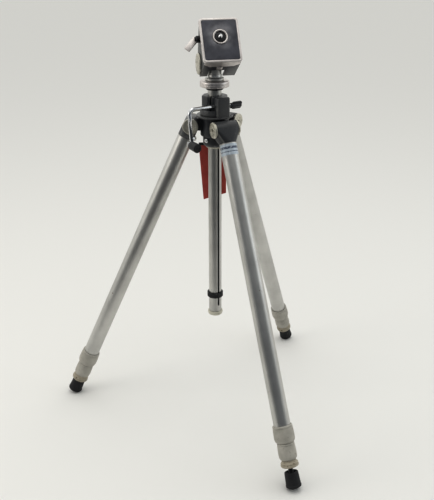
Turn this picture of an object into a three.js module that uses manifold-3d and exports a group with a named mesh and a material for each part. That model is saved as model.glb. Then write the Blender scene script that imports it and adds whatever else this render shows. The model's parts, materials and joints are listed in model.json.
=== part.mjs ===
// A three-legged camera stand: twist-lock telescopic legs on a cast shoulder, a geared centre
// column with a crank, and a pan and tilt head with a padded camera platform.
// Millimetres, +Z up. The stand is drawn standing on its feet with its legs against their stops.
import * as THREE from "three";
import { mergeVertices } from "three/addons/utils/BufferGeometryUtils.js";
import { ConvexGeometry } from "three/addons/geometries/ConvexGeometry.js";
import Module from "manifold-3d";

const wasm = await Module();
wasm.setup();

// ---------- Driving dimensions ----------
const gap = 0.3; // clearance between two pieces that touch
const runGap = 0.4; // clearance round a piece that moves

// legs
const legSplay = THREE.MathUtils.degToRad(24.1); // from the column, at the outer stop
const legNames = ["front", "rear", "left"];
const legAzimuths = { front: -64.3, rear: 55.7, left: 175.7 }; // degrees round the column
const footTurnedOut = { front: 8, rear: 1, left: 1 }; // how far each foot is screwed out
const hipRadius = 38.8; // column axis to hip pin
const tubeWall = 1.1;
const upperTubeRadius = 14;
const middleTubeRadius = 11.9;
const lowerTubeRadius = 9.9;
const upperTubeLength = 466; // visible length below the hip fork
const lockLength = 28.4; // each twist lock along the leg
const lockOverlap = 10; // length of tube that a lock covers
const lockWall = 3.2; // flesh of a lock outside its tube
const tubeInsideTop = 60; // how far below the hip pin the inner tubes end
const flangeHeight = 12;
const flangeRadius = 15;
const spindleRadius = 4;
const footHeight = 29;
const footTopRadius = 11.4;
const footRadius = 13;
const soleRadius = 20; // curvature of the sole

// hips and shoulder
const barrelRadius = 13.2;
const forkWidth = 38;
const hipCapThickness = 3.3;
const hipPinRadius = 4;
const forkLength = 24; // hip pin to the top of the upper tube
const tongueWidth = 14;
const tongueRadius = 10;
const hubRadius = 24;
const hubHeight = 32; // below the shoulder plate
const plateRadius = 31;
const plateThickness = 3;
const plateRise = 13.8; // hip pin to the underside of the shoulder plate
const collarRadius = 19.8;
const collarHeight = 17.5;
const bushHeight = 2.4;
const strapWidth = 47;
const strapThickness = 2.2;
const strapLength = 98;
const strapLeft = -27.5; // left edge, from the column axis
const strapBarWidth = 41;
const strapBarHeight = 4.2;
const strapBarDepth = 4.2;

// centre column
const columnRadius = 11.4;
const columnWall = 1.8;
const columnBottom = -348; // below the hip pins
const columnTop = 58;
const rackWidth = 2.6;
const stopRingRadius = 14.2;
const stopRingHeight = 10;
const stopRingRise = 28; // column end to the ring's underside
const endCapRadius = 13.3;
const endCapHeight = 8;

// elevator housing, crank and column lock, round the column
const elevatorAzimuth = -57; // degrees, the way the gear block faces
const drumRadius = 24.5;
const drumHeight = 10;
const blockReach = 30;
const blockWidth = 23;
const housingFlat = 20; // column axis to each flat of the housing
const housingTop = 49; // above the hip pins
const crankRise = 34; // crank shaft above the hip pins
const crankRod = 3.3;
const crankReach = 59; // column's side to the arm's plane
const crankBend = 9;
const crankArm = 50;
const crankLean = 8; // degrees the arm stands off straight down
const pinionRadius = 6;
const pinionWidth = 2.6;
const gripLength = 20;
const gripRadius = 7.4;
const gripDroop = 12; // degrees below level when folded
const lockRise = 27; // lock screw above the hip pins
const lockScrewRadius = 3;
const lockKnobReach = 34.5; // column axis to the wings
const lockKnobLength = 19;
const lockWingHalf = 6.5;

// head
const washerRadius = 14.3;
const washerHeight = 3.7;
const panDiscRadius = 24.2;
const panDiscHeight = 10.5;
const neckRadius = 12;
const neckFlangeRadius = 15.6;
const neckFlangeHeight = 5;
const tiltRise = 100; // tilt pin above the hip pins
const panAngle = 12.3; // degrees, as drawn
const tiltAngle = 57.5; // degrees forward of level, as drawn
const tiltPinRadius = 5;
const headOffset = 4; // housing centre to the side of the column axis
const headWidth = 58;
const headWall = 3;
const headRear = -10; // open rim of the housing, from the tilt pin
const headRoof = 40; // top of the housing, from the tilt pin
const headMouth = 15.5; // toe end of the housing's open rim, from the tilt pin
const headHeel = -17.5; // heel wall's outer face, from the tilt pin
const headToe = 56; // toe end of the housing and the platform
const platformWidth = 63;
const platformThickness = 5;
const platformRim = 3.4;
const skirtDepth = 13; // the platform's turned-down edge at the heel
const skirtThickness = 1.6;
const padThickness = 1.7;
const padProud = 0.4;
const screwAhead = 5; // camera screw from the platform's centre, towards the toe
const screwRadius = 3.1;
const screwRingRadius = 12.4;
const capRadius = 17;
const capThickness = 3.2;
const leverAlong = 31; // lever pivot from the tilt pin, towards the toe
const leverUp = 24; // and up towards the platform
const leverLength = 24;
const leverFlare = 43; // degrees the blade stands off the housing's side
const leverWidth = 10;
const leverThickness = 2;

// ---------- Shape helpers ----------
function toSolid(geometry) {
  const bare = geometry.clone();
  bare.deleteAttribute("normal");
  bare.deleteAttribute("uv");
  const merged = mergeVertices(bare, 1e-4);
  const solid = new wasm.Manifold(
    new wasm.Mesh({
      numProp: 3,
      vertProperties: merged.attributes.position.array,
      triVerts: new Uint32Array(merged.index.array),
    }),
  );
  return solid;
}

function toGeometry(solid) {
  const mesh = solid.getMesh();
  const geometry = new THREE.BufferGeometry();
  geometry.setAttribute("position", new THREE.BufferAttribute(mesh.vertProperties, 3));
  geometry.setIndex(new THREE.BufferAttribute(mesh.triVerts, 1));
  const flat = geometry.toNonIndexed();
  flat.computeVertexNormals();
  return flat;
}

function cut(geometry, ...tools) {
  let solid = toSolid(geometry);
  for (const tool of tools) {
    solid = solid.subtract(toSolid(tool));
  }
  return toGeometry(solid);
}

function join(...pieces) {
  let solid = toSolid(pieces[0]);
  for (const piece of pieces.slice(1)) {
    solid = solid.add(toSolid(piece));
  }
  return toGeometry(solid);
}

// A solid of revolution about Z. The profile is [radius, height] pairs from the bottom up.
function turned(profile, sides = 16) {
  const points = profile.map(([radius, height]) => new THREE.Vector2(radius, height));
  return new THREE.LatheGeometry(points, sides).rotateX(Math.PI / 2);
}

// A tube about Z between two heights.
function tube(outer, inner, low, high, sides = 16) {
  return turned([[inner, low], [outer, low], [outer, high], [inner, high], [inner, low]], sides);
}

// A round bar about Z between two heights.
function bar(radius, low, high, sides = 16) {
  return turned([[0, low], [radius, low], [radius, high], [0, high]], sides);
}

// A round bar along Y between two places.
function crossBar(radius, low, high, sides = 16) {
  return bar(radius, -high, -low, sides).rotateX(Math.PI / 2);
}

// A round bar along X between two places.
function sideBar(radius, low, high, sides = 16) {
  return bar(radius, low, high, sides).rotateY(Math.PI / 2);
}

function block(low, high) {
  const size = new THREE.Vector3().subVectors(high, low);
  const centre = new THREE.Vector3().addVectors(low, high).multiplyScalar(0.5);
  return new THREE.BoxGeometry(size.x, size.y, size.z).translate(centre.x, centre.y, centre.z);
}

const at = (x, y, z) => new THREE.Vector3(x, y, z);

function finish(colour, roughness, metalness) {
  return new THREE.MeshStandardMaterial({ color: colour, roughness, metalness });
}

function addPart(group, name, geometry, material) {
  const mesh = new THREE.Mesh(geometry, material);
  mesh.name = name;
  group.add(mesh);
  return mesh;
}

const satinAluminium = finish(0xb9b9b4, 0.35, 1);
const chrome = finish(0xd0d2d4, 0.12, 1);
const blackPaint = finish(0x23272e, 0.45, 0.2);
const greyPlastic = finish(0x96948c, 0.6, 0);
const beigePlastic = finish(0xaaa08c, 0.6, 0);
const ivoryPlastic = finish(0xbebca8, 0.5, 0);
const blackRubber = finish(0x1a1a1d, 0.9, 0);
const redWebbing = finish(0xa8443f, 0.9, 0);

// ---------- Legs: each leg's frame has the hip pin at its origin and the leg along -Z ----------
const upperTubeEnd = forkLength + upperTubeLength;
const middleLockTop = upperTubeEnd + lockLength + gap;
const flangeTop = middleLockTop + lockLength + gap;
const flangeEnd = flangeTop + flangeHeight;
const soleCentre = (turnedOut) => flangeEnd + turnedOut + footHeight - soleRadius;
const hipHeight = soleCentre(footTurnedOut.left) * Math.cos(legSplay) + soleRadius;

// A foot that is screwed further out pushes its leg a little further from the column.
function splayOf(name) {
  return Math.acos((hipHeight - soleRadius) / soleCentre(footTurnedOut[name]));
}

// The room that a shoulder tongue takes inside the fork, with the leg swung in by an angle.
function tongueRoom(swing) {
  const half = tongueWidth / 2 + runGap;
  const round = crossBar(tongueRadius + runGap, -half, half);
  const flat = block(
    at(-hipRadius, -half, -tongueRadius - runGap),
    at(0, half, tongueRadius + runGap),
  );
  return [round.rotateY(swing), flat.rotateY(swing)];
}

function hipFork(splay) {
  const points = [];
  const half = forkWidth / 2;
  for (let step = 0; step < 16; step += 1) {
    const angle = (step / 16) * 2 * Math.PI;
    const x = Math.cos(angle);
    const z = Math.sin(angle);
    points.push(at(barrelRadius * x, half, barrelRadius * z));
    points.push(at(barrelRadius * x, -half, barrelRadius * z));
    points.push(at(upperTubeRadius * x, upperTubeRadius * z, -forkLength + gap));
  }
  const spigot = bar(upperTubeRadius - tubeWall - gap, -forkLength - 20, -forkLength + 2);
  const pinHole = crossBar(hipPinRadius + gap, -forkWidth, forkWidth);
  const body = join(new ConvexGeometry(points), spigot);
  return cut(body, ...tongueRoom(splay), ...tongueRoom(0), ...tongueRoom(splay / 2), pinHole);
}

// The round cap on one side of a hip, with a socket in its face, drawn about Z.
function capProfile(low, shaft) {
  const high = low + hipCapThickness;
  const rim = [[barrelRadius, low], [barrelRadius, high - 0.8], [barrelRadius - 0.8, high]];
  const socket = [[2.4, high], [2.4, high - 1.8], [0, high - 1.8]];
  return [...shaft, ...rim, ...socket];
}

function hipPin() {
  const low = forkWidth / 2 + gap;
  const shaft = [[0, -forkWidth / 2], [hipPinRadius, -forkWidth / 2], [hipPinRadius, low]];
  return turned(capProfile(low, shaft)).rotateX(-Math.PI / 2);
}

function hipCap() {
  const low = forkWidth / 2 + gap;
  return turned(capProfile(low, [[0, low]])).rotateX(Math.PI / 2);
}

// A twist lock: it covers the end of the tube above and closes on the tube below.
function twistLock(top, above, below) {
  const end = top + lockLength;
  const outer = above + lockWall;
  const seat = top + lockOverlap + gap;
  const wideBore = above + gap;
  const narrowBore = below + gap;
  return turned([
    [narrowBore, -end], [outer - 3, -end], [outer - 1, -end + 4], [outer, -top - 15],
    [outer - 0.8, -top - 3], [outer - 1.6, -top], [wideBore, -top], [wideBore, -seat],
    [narrowBore, -seat], [narrowBore, -end],
  ]);
}

function footFlange() {
  const bore = lowerTubeRadius + gap;
  const shelf = flangeTop + 8 + gap;
  const spindleBore = spindleRadius + runGap;
  return turned([
    [spindleBore, -flangeEnd], [flangeRadius - 4, -flangeEnd], [flangeRadius, -flangeEnd + 3.5],
    [flangeRadius - 0.4, -flangeEnd + 7.5], [flangeRadius - 3, -flangeTop - 2.5],
    [flangeRadius - 3, -flangeTop], [bore, -flangeTop], [bore, -shelf],
    [spindleBore, -shelf], [spindleBore, -flangeEnd],
  ]);
}

function rubberFoot(splay, top) {
  const profile = [];
  const centre = -(top + footHeight - soleRadius);
  const edge = Math.asin((footRadius - 0.6) / soleRadius);
  profile.push([0, centre - soleRadius]);
  for (const angle of [splay / 2, splay, (splay + edge) / 2, edge]) {
    profile.push([soleRadius * Math.sin(angle), centre - soleRadius * Math.cos(angle)]);
  }
  profile.push([footRadius, centre - soleRadius * Math.cos(edge) + 2]);
  profile.push([footTopRadius, -top - 1.2]);
  profile.push([footTopRadius - 1, -top]);
  profile.push([footTopRadius - 3, -top]);
  profile.push([footTopRadius - 3, -top - 4]);
  profile.push([spindleRadius + gap, -top - 4]);
  profile.push([spindleRadius + gap, -top - 16]);
  profile.push([0, -top - 16]);
  return turned(profile);
}

function makeLeg(name) {
  const splay = splayOf(name);
  const turnedOut = footTurnedOut[name];
  const upperBore = upperTubeRadius - tubeWall;
  const middleBore = middleTubeRadius - tubeWall;
  const lowerBore = lowerTubeRadius - tubeWall;
  const middleEnd = middleLockTop + lockOverlap;
  const footTop = flangeEnd + turnedOut;
  const leg = new THREE.Group();
  const add = (part, geometry, material) => addPart(leg, `${name}_${part}`, geometry, material);

  add("hip_fork", hipFork(splay), blackPaint);
  add("hip_pin", hipPin(), ivoryPlastic);
  add("hip_cap", hipCap(), ivoryPlastic);
  const upperEnd = upperTubeEnd + lockOverlap;
  add("upper_tube", tube(upperTubeRadius, upperBore, -upperEnd, -forkLength), satinAluminium);
  add("upper_lock", twistLock(upperTubeEnd, upperTubeRadius, middleTubeRadius), greyPlastic);
  const middleTube = tube(middleTubeRadius, middleBore, -middleEnd, -tubeInsideTop);
  add("middle_tube", middleTube, satinAluminium);
  add("lower_lock", twistLock(middleLockTop, middleTubeRadius, lowerTubeRadius), greyPlastic);
  const lowerTube = tube(lowerTubeRadius, lowerBore, -flangeTop - 8, -tubeInsideTop - 10);
  add("lower_tube", lowerTube, satinAluminium);
  add("foot_flange", footFlange(), beigePlastic);
  add("foot_spindle", bar(spindleRadius, -footTop - 16 + gap, -flangeTop + 14, 12), blackPaint);
  add("rubber_foot", rubberFoot(splay, footTop), blackRubber);

  leg.rotation.set(0, -splay, 0);
  leg.position.set(hipRadius, 0, 0);
  const arm = new THREE.Group();
  arm.add(leg);
  arm.rotation.z = THREE.MathUtils.degToRad(legAzimuths[name]);
  return arm;
}

// ---------- Shoulder: drawn with the hip pins at height 0 ----------
function spider() {
  const hubTop = plateRise;
  const hub = bar(hubRadius, hubTop - hubHeight, hubTop + 1, 24);
  const plate = turned([
    [0, plateRise], [plateRadius - 0.8, plateRise], [plateRadius, plateRise + 0.8],
    [plateRadius, plateRise + plateThickness - 1], [plateRadius - 1, plateRise + plateThickness],
    [0, plateRise + plateThickness],
  ], 24);
  const tongues = [];
  const pinHoles = [];
  for (const name of legNames) {
    const azimuth = THREE.MathUtils.degToRad(legAzimuths[name]);
    const half = tongueWidth / 2;
    const flat = block(at(hubRadius - 8, -half, -tongueRadius), at(hipRadius, half, tongueRadius));
    const round = crossBar(tongueRadius, -half, half).translate(hipRadius, 0, 0);
    const hole = crossBar(hipPinRadius + runGap, -hipRadius / 2, hipRadius / 2, 12);
    tongues.push(flat.rotateZ(azimuth), round.rotateZ(azimuth));
    pinHoles.push(hole.translate(hipRadius, 0, 0).rotateZ(azimuth));
  }
  const columnHole = bar(columnRadius + runGap, -hubHeight * 2, hubHeight * 2);
  return cut(join(hub, plate, ...tongues), columnHole, ...pinHoles);
}

const hubBottom = plateRise - hubHeight;
const collarBottom = hubBottom - gap - collarHeight;

function lowerCollar() {
  const bore = columnRadius + runGap;
  const top = hubBottom - gap;
  return turned([
    [bore, collarBottom], [collarRadius - 2.5, collarBottom], [collarRadius, collarBottom + 4],
    [collarRadius, top], [bore, top], [bore, collarBottom],
  ], 24);
}

function collarBolt() {
  const head = bar(3.6, collarRadius + gap, collarRadius + 3, 6);
  const tip = bar(1.6, collarRadius + 2.5, collarRadius + 4.4, 8);
  return join(head, tip).rotateY(Math.PI / 2);
}

function makeShoulder() {
  const shoulder = new THREE.Group();
  addPart(shoulder, "spider", spider(), blackPaint);
  addPart(shoulder, "lower_collar", lowerCollar(), blackPaint);
  const bushTop = collarBottom - gap;
  const bush = tube(collarRadius - 5.3, columnRadius + gap, bushTop - bushHeight, bushTop);
  addPart(shoulder, "column_bush", bush, ivoryPlastic);
  const bolt = addPart(shoulder, "collar_bolt", collarBolt(), chrome);
  bolt.rotation.z = THREE.MathUtils.degToRad(-130);
  bolt.position.z = hubBottom - 6;

  const strapY = columnRadius + 4;
  const barTop = collarBottom - gap;
  const barLow = barTop - strapBarHeight;
  const barFront = strapY - 0.4;
  const strapBar = block(
    at(strapLeft, barFront, barLow),
    at(strapLeft + strapBarWidth, barFront + strapBarDepth, barTop),
  );
  addPart(shoulder, "strap_bar", strapBar, blackPaint);
  const strap = block(
    at(strapLeft, strapY, barLow - gap - strapLength),
    at(strapLeft + strapWidth, strapY + strapThickness, barLow - gap),
  );
  addPart(shoulder, "leg_strap", strap, redWebbing);
  return shoulder;
}

// ---------- Elevator housing, crank and column lock: +X is the way the gear block faces ----------
const pinionAt = columnRadius + 4.8;

function elevatorHousing() {
  const low = plateRise + plateThickness + gap;
  const flats = new THREE.CylinderGeometry(1, 1, housingTop - low, 8).rotateX(Math.PI / 2);
  const corner = housingFlat / Math.cos(Math.PI / 8);
  flats.scale(corner, corner, 1).translate(0, 0, (housingTop + low) / 2);
  const drum = bar(drumRadius, low, low + drumHeight, 24);
  const gearBlock = block(at(0, -blockWidth / 2, low), at(blockReach, blockWidth / 2, housingTop));
  const columnHole = bar(columnRadius + runGap, low - 1, housingTop + 1);
  const shaftHole = crossBar(crankRod + runGap, -drumRadius, 9, 16).translate(pinionAt, 0, crankRise);
  const gearRoom = crossBar(pinionRadius + 1, -2.6, 2.6, 16).translate(pinionAt, 0, crankRise);
  const screwHole = crossBar(lockScrewRadius + runGap, 1, drumRadius * 2, 16).translate(0, 0, lockRise);
  const slit = block(at(columnRadius - 2, -1.2, low + drumHeight), at(drumRadius * 2, 1.2, housingTop + 1));
  slit.rotateZ(THREE.MathUtils.degToRad(-52));
  return cut(join(drum, flats, gearBlock), columnHole, shaftHole, gearRoom, screwHole, slit);
}

// The crank is one bent rod: through the pinion, out to the side, and down the arm.
function crankRodShape() {
  const path = new THREE.CurvePath();
  const reach = -crankReach;
  path.add(new THREE.LineCurve3(at(0, 8, 0), at(0, reach + crankBend, 0)));
  path.add(new THREE.QuadraticBezierCurve3(
    at(0, reach + crankBend, 0), at(0, reach, 0), at(0, reach, -crankBend),
  ));
  path.add(new THREE.LineCurve3(at(0, reach, -crankBend), at(0, reach, -crankArm)));
  const section = new THREE.Shape();
  section.absarc(0, 0, crankRod, 0, 2 * Math.PI, false);
  const rod = new THREE.ExtrudeGeometry(section, { extrudePath: path, steps: 12, curveSegments: 3 });
  const pinion = crossBar(pinionRadius, -pinionWidth / 2, pinionWidth / 2, 20);
  const boss = crossBar(crankRod + 0.6, reach - 7, reach).translate(0, 0, -crankArm + 3.9);
  return join(rod, pinion, boss);
}

// The grip's folding stud: a barrel under the arm's end and the pin that the grip turns on.
const studAt = -crankReach - 4.4;
function crankStud() {
  const barrel = bar(3.8, -crankArm - 8.5, -crankArm - gap).translate(0, studAt, 0);
  return join(barrel, gripPlace(bar(2, 0, 5 + gripLength, 12)));
}

// Puts what is drawn along +Z onto the grip's line, which starts in the stud's barrel.
function gripPlace(geometry) {
  const droop = THREE.MathUtils.degToRad(90 + gripDroop);
  return geometry.rotateY(droop).translate(0, studAt, -crankArm - 4.4);
}

function crankGrip() {
  const low = 4.8;
  const high = low + gripLength;
  const bore = 2 + runGap;
  return gripPlace(turned([
    [bore, low], [gripRadius - 2.2, low], [gripRadius - 1.8, low + 1], [gripRadius, high - 3],
    [gripRadius - 1.2, high], [bore, high], [bore, low],
  ]));
}

function lockKnob() {
  const screw = crossBar(lockScrewRadius, columnRadius + gap, lockKnobReach + 2, 16);
  const hub = crossBar(4.6, lockKnobReach - 3, lockKnobReach + lockKnobLength - 1, 16);
  const wings = block(
    at(-1.7, lockKnobReach, -lockWingHalf),
    at(1.7, lockKnobReach + lockKnobLength, lockWingHalf),
  );
  return join(screw, hub, wings.rotateY(THREE.MathUtils.degToRad(20)));
}

function makeElevator() {
  const elevator = new THREE.Group();
  elevator.rotation.z = THREE.MathUtils.degToRad(elevatorAzimuth);
  addPart(elevator, "elevator_housing", elevatorHousing(), blackPaint);

  const crank = new THREE.Group();
  crank.position.set(pinionAt, 0, crankRise);
  crank.rotation.y = THREE.MathUtils.degToRad(-crankLean);
  addPart(crank, "crank_rod", crankRodShape(), chrome);
  addPart(crank, "crank_stud", crankStud(), chrome);
  addPart(crank, "crank_grip", crankGrip(), blackPaint);
  elevator.add(crank);

  const knob = addPart(elevator, "column_lock_knob", lockKnob(), blackPaint);
  knob.position.z = lockRise;

  elevator.add(makeColumn());
  return elevator;
}

// ---------- Centre column: its rack slot faces the gear block ----------
function columnTube() {
  const body = tube(columnRadius, columnRadius - columnWall, columnBottom, columnTop, 24);
  const half = rackWidth / 2 + 0.4;
  return cut(body, block(at(0, -half, columnBottom + 12), at(columnRadius * 2, half, columnTop - 8)));
}

function columnRack() {
  const face = pinionAt - pinionRadius - gap;
  return block(
    at(face - 2.4, -rackWidth / 2, columnBottom + 13),
    at(face, rackWidth / 2, columnTop - 9),
  );
}

function endCap() {
  const top = columnBottom - gap;
  const low = top - endCapHeight;
  const cap = turned([
    [0, low], [endCapRadius - 2.5, low], [endCapRadius - 0.6, low + 1.2], [endCapRadius, low + 3],
    [endCapRadius, top - 1], [endCapRadius - 0.8, top], [0, top],
  ]);
  const stud = bar(1.8, low - 4, low + 1, 12);
  return join(cap, stud);
}

function makeColumn() {
  const column = new THREE.Group();
  const ringLow = columnBottom + stopRingRise;
  addPart(column, "column_tube", columnTube(), satinAluminium);
  addPart(column, "column_rack", columnRack(), blackPaint);
  const ring = turned([
    [columnRadius + gap, ringLow], [stopRingRadius - 0.8, ringLow], [stopRingRadius, ringLow + 0.8],
    [stopRingRadius, ringLow + stopRingHeight - 0.8], [stopRingRadius - 0.8, ringLow + stopRingHeight],
    [columnRadius + gap, ringLow + stopRingHeight], [columnRadius + gap, ringLow],
  ]);
  addPart(column, "stop_ring", ring, blackRubber);
  addPart(column, "column_end_cap", endCap(), ivoryPlastic);
  const washer = bar(washerRadius, columnTop + gap, columnTop + gap + washerHeight);
  addPart(column, "column_washer", washer, blackRubber);
  addPart(column, "pan_disc", panDisc(), satinAluminium);
  return column;
}

// ---------- Head ----------
const panDiscLow = columnTop + washerHeight + 2 * gap;
const panDiscTop = panDiscLow + panDiscHeight;

function panDisc() {
  const bore = 6 + runGap;
  const lip = panDiscTop - 1.2;
  return turned([
    [0, panDiscLow], [panDiscRadius - 1.5, panDiscLow], [panDiscRadius, panDiscLow + 1.5],
    [panDiscRadius, lip], [panDiscRadius - 1.2, panDiscTop], [bore, panDiscTop],
    [bore, panDiscLow + 2], [0, panDiscLow + 2],
  ], 24);
}

function headNeck() {
  const low = panDiscTop + gap;
  const shoulder = low + neckFlangeHeight;
  const stem = turned([
    [0, panDiscLow + 3], [6, panDiscLow + 3], [6, low], [neckFlangeRadius - 0.6, low],
    [neckFlangeRadius, low + 0.8], [neckFlangeRadius, shoulder - 1], [neckFlangeRadius - 1, shoulder],
    [neckRadius, shoulder], [neckRadius, tiltRise], [0, tiltRise],
  ]);
  const barrel = sideBar(neckRadius, -neckRadius, neckRadius).translate(0, 0, tiltRise);
  const pinHole = sideBar(tiltPinRadius + gap, -20, 20).translate(0, 0, tiltRise);
  return cut(join(stem, barrel), pinHole);
}

const headLeft = headOffset - headWidth / 2;
const headRight = headOffset + headWidth / 2;
const platformMiddle = (headHeel + headToe) / 2;
const screwAlong = platformMiddle + screwAhead;

// The side of the housing, as [along, up] points about the tilt pin, shrunk by a margin.
function headSide(margin) {
  const outline = new THREE.Shape();
  outline.moveTo(headHeel + margin, headRoof - margin);
  outline.lineTo(headHeel + margin, headRear);
  outline.lineTo(headMouth, headRear);
  outline.lineTo(headMouth + 4.5 - margin, -3);
  outline.lineTo(headToe - 6 - margin, headRoof - 12);
  outline.lineTo(headToe - 1 - margin, headRoof - margin);
  outline.closePath();
  return outline;
}

// Extrudes a side outline across the head: the outline's axes become +Y and +Z.
function acrossHead(outline, low, high) {
  const slab = new THREE.ExtrudeGeometry(outline, { depth: high - low, bevelEnabled: false });
  return slab.rotateX(Math.PI / 2).rotateZ(Math.PI / 2).translate(low, 0, 0);
}

// The turned-down edge of the platform that is let into the heel wall, grown by a margin.
function heelSkirt(margin) {
  return block(
    at(headLeft - 2 * margin, headHeel - 2 * margin, headRoof - skirtDepth - margin),
    at(headRight + 2 * margin, headHeel + skirtThickness + margin, headRoof + 1),
  );
}

function headHousing() {
  const shell = acrossHead(headSide(0), headLeft, headRight);
  const hollow = acrossHead(headSide(headWall), headLeft + headWall, headRight - headWall);
  const mouth = block(
    at(headLeft + headWall, headHeel + headWall, headRear - 5),
    at(headRight - headWall, headMouth - headWall, headRear + 5),
  );
  const half = neckRadius + 1;
  const notch = block(at(-half, headHeel - 5, headRear - 5), at(half, 0, neckRadius + 1));
  const pinHole = sideBar(tiltPinRadius + gap, headLeft - 5, headRight + 5);
  const leverHole = sideBar(2.4 + gap, headLeft - 5, 0, 12).translate(0, leverAlong, leverUp);
  const screwHole = bar(screwRadius + gap, 0, headRoof + 5).translate(headOffset, screwAlong, 0);
  const skirtSeat = heelSkirt(gap);
  return cut(shell, hollow, mouth, notch, pinHole, leverHole, screwHole, skirtSeat);
}

function roundedPlate(width, length, radius, low, high) {
  const outline = new THREE.Shape();
  const x = width / 2 - radius;
  const y = length / 2 - radius;
  outline.absarc(x, y, radius, 0, Math.PI / 2, false);
  outline.absarc(-x, y, radius, Math.PI / 2, Math.PI, false);
  outline.absarc(-x, -y, radius, Math.PI, 1.5 * Math.PI, false);
  outline.absarc(x, -y, radius, 1.5 * Math.PI, 2 * Math.PI, false);
  const slab = new THREE.ExtrudeGeometry(outline, {
    depth: high - low,
    bevelEnabled: false,
    curveSegments: 2,
  });
  return slab.translate(headOffset, platformMiddle, low);
}

const platformLow = headRoof + gap;
const platformTop = platformLow + platformThickness;
const padLow = platformTop + padProud - padThickness;
const platformLength = headToe - headHeel;

function platform() {
  const slab = roundedPlate(platformWidth, platformLength, 4, platformLow, platformTop);
  const recess = roundedPlate(
    platformWidth - 2 * platformRim, platformLength - 2 * platformRim, 2.5,
    padLow - gap, platformTop + 1,
  );
  const hole = bar(screwRadius + gap, headRoof - 5, platformTop + 5, 16);
  return cut(join(slab, heelSkirt(0)), recess, hole.translate(headOffset, screwAlong, 0));
}

function platformPad() {
  const margin = 2 * (platformRim + gap);
  const slab = roundedPlate(
    platformWidth - margin, platformLength - margin, 2.2, padLow, platformTop + padProud,
  );
  const hole = bar(screwRingRadius + gap, padLow - 5, platformTop + 5);
  return cut(slab, hole.translate(headOffset, screwAlong, 0));
}

function screwRing() {
  const inner = screwRingRadius - 3.2;
  const top = platformTop + 1.6;
  return turned([
    [inner, padLow], [screwRingRadius, padLow], [screwRingRadius, top - 1], [screwRingRadius - 1, top],
    [inner + 0.6, top], [inner, top - 1.4], [inner, padLow],
  ]).translate(headOffset, screwAlong, 0);
}

// The camera screw: a knob inside the housing, a shank, a dish inside the ring, and the thread.
function cameraScrew() {
  const dish = screwRingRadius - 3.2 - runGap;
  const knobTop = headRoof - headWall - gap;
  return turned([
    [0, knobTop - 7], [9, knobTop - 7], [9, knobTop], [screwRadius, knobTop], [screwRadius, padLow],
    [dish, padLow], [dish, padLow + 0.8], [screwRadius, padLow + 2], [screwRadius, platformTop + 5],
    [screwRadius - 0.8, platformTop + 6], [0, platformTop + 6],
  ]).translate(headOffset, screwAlong, 0);
}

function tiltPin() {
  const shaft = sideBar(tiltPinRadius, headLeft + 0.1, headRight + 2);
  const nut = sideBar(9, headRight + gap, headRight + 5, 6);
  return join(shaft, nut);
}

function tiltCap() {
  const low = -headLeft + gap;
  const high = low + capThickness;
  return turned([
    [0, low], [capRadius - 0.6, low], [capRadius, low + 0.6], [capRadius, high - 1.2],
    [capRadius - 1.4, high], [0, high],
  ], 24).rotateY(-Math.PI / 2);
}

function tiltLever() {
  const low = headLeft - gap;
  const hub = sideBar(5.5, low - 6, low, 16);
  const stem = sideBar(2.4, low - 1, headLeft + 8, 12);
  const head = sideBar(3.6, low - 8, low - 5, 16);
  const blade = block(
    at(-leverWidth / 2, -leverLength, -leverThickness / 2),
    at(leverWidth / 2, 2, leverThickness / 2),
  );
  blade.rotateZ(THREE.MathUtils.degToRad(-leverFlare)).translate(low - 6.2, 0, 0);
  return join(hub, stem, head, blade).translate(0, leverAlong, leverUp);
}

function makeHead() {
  const pan = new THREE.Group();
  pan.rotation.z = THREE.MathUtils.degToRad(panAngle);
  addPart(pan, "head_neck", headNeck(), chrome);
  const head = new THREE.Group();
  head.position.z = tiltRise;
  head.rotation.x = THREE.MathUtils.degToRad(tiltAngle);
  addPart(head, "head_housing", headHousing(), blackPaint);
  addPart(head, "platform", platform(), satinAluminium);
  addPart(head, "platform_pad", platformPad(), blackRubber);
  addPart(head, "screw_ring", screwRing(), chrome);
  addPart(head, "camera_screw", cameraScrew(), chrome);
  addPart(head, "tilt_pin", tiltPin(), blackPaint);
  addPart(head, "tilt_cap", tiltCap(), ivoryPlastic);
  addPart(head, "tilt_lever", tiltLever(), satinAluminium);
  pan.add(head);
  return pan;
}

// ---------- The whole stand ----------
const stand = new THREE.Group();
stand.add(makeShoulder());
stand.add(makeElevator());
stand.add(makeHead());
for (const name of legNames) {
  stand.add(makeLeg(name));
}
stand.position.z = hipHeight;

// The origin is the bottom centre of the stand's box.
const tripod = new THREE.Group();
tripod.add(stand);
tripod.updateMatrixWorld(true);
const box = new THREE.Box3().setFromObject(tripod, true);
stand.position.x -= (box.min.x + box.max.x) / 2;
stand.position.y -= (box.min.y + box.max.y) / 2;
stand.position.z -= box.min.z;

export default tripod;
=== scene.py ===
import json
import math

import bpy
from mathutils import Matrix, Vector


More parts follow.
